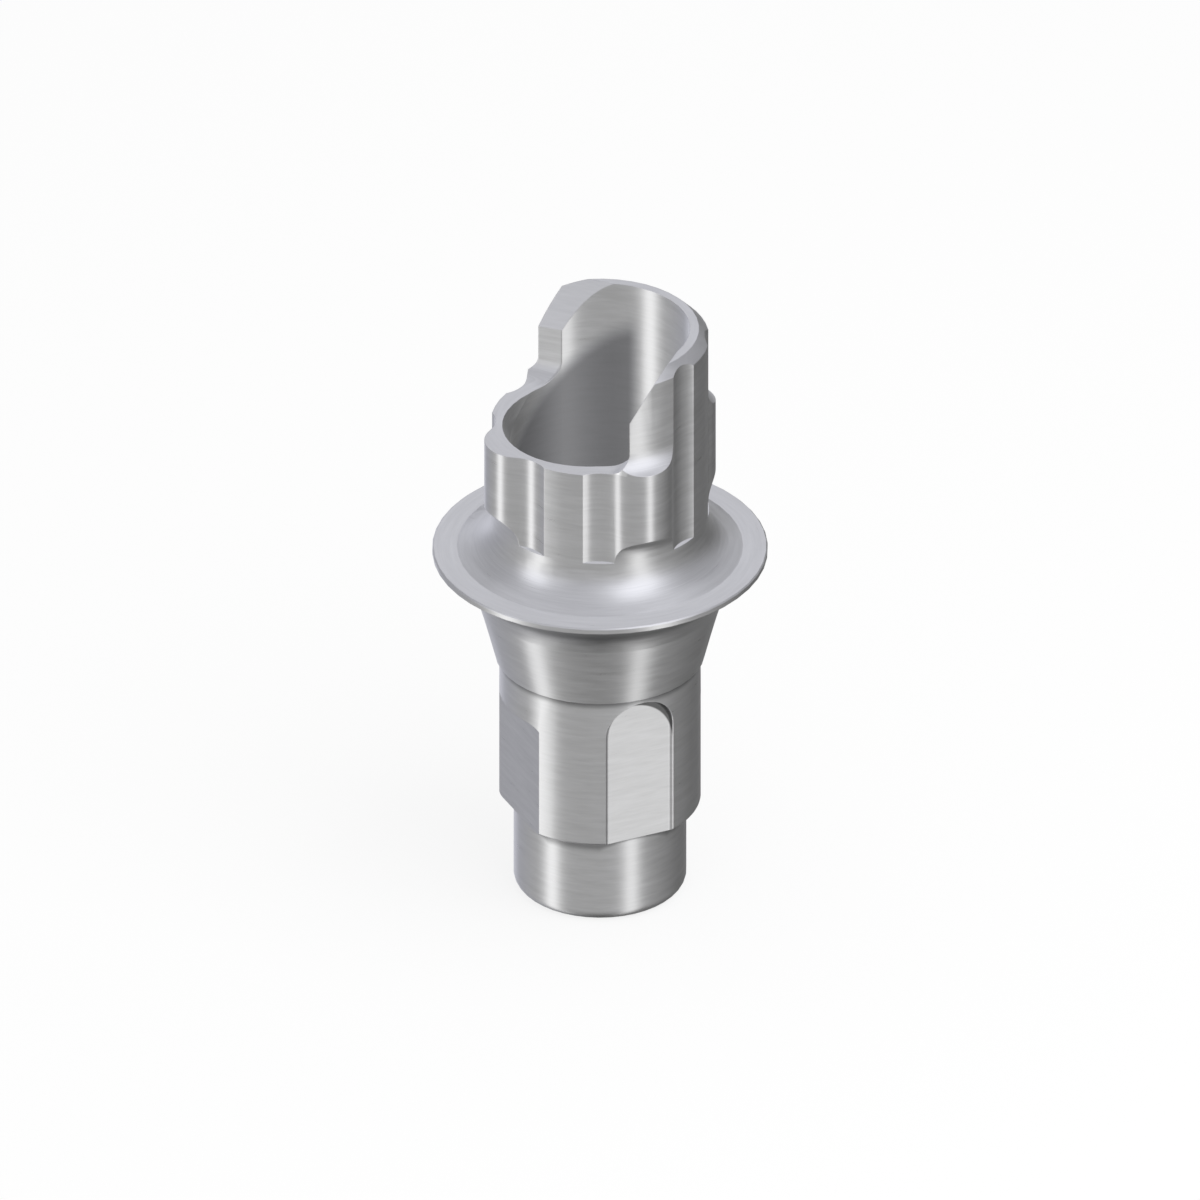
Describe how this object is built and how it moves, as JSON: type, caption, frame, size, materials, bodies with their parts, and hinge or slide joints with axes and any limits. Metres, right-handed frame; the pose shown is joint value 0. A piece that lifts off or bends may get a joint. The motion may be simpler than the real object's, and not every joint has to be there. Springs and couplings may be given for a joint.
{
  "type": "dental abutment",
  "caption": "Titanium bonding-base abutment: implant connection with flats, conical seat, thin flange and a lobed chimney cut away on one side for a tilted screwdriver.",
  "frame": {"origin": "centre of the foot's bottom face, on the abutment's axis", "axes": "+Z along the axis from the implant to the crown; -Y towards the chimney's cut-out; +X along an arched pocket of the connection"},
  "size_m": [0.0044, 0.0044, 0.0085],
  "materials": {
    "titanium": "fine-turned and milled, satin to bright"
  },
  "bodies": {
    "root": {"abutment": "titanium"}
  },
  "joints": []
}
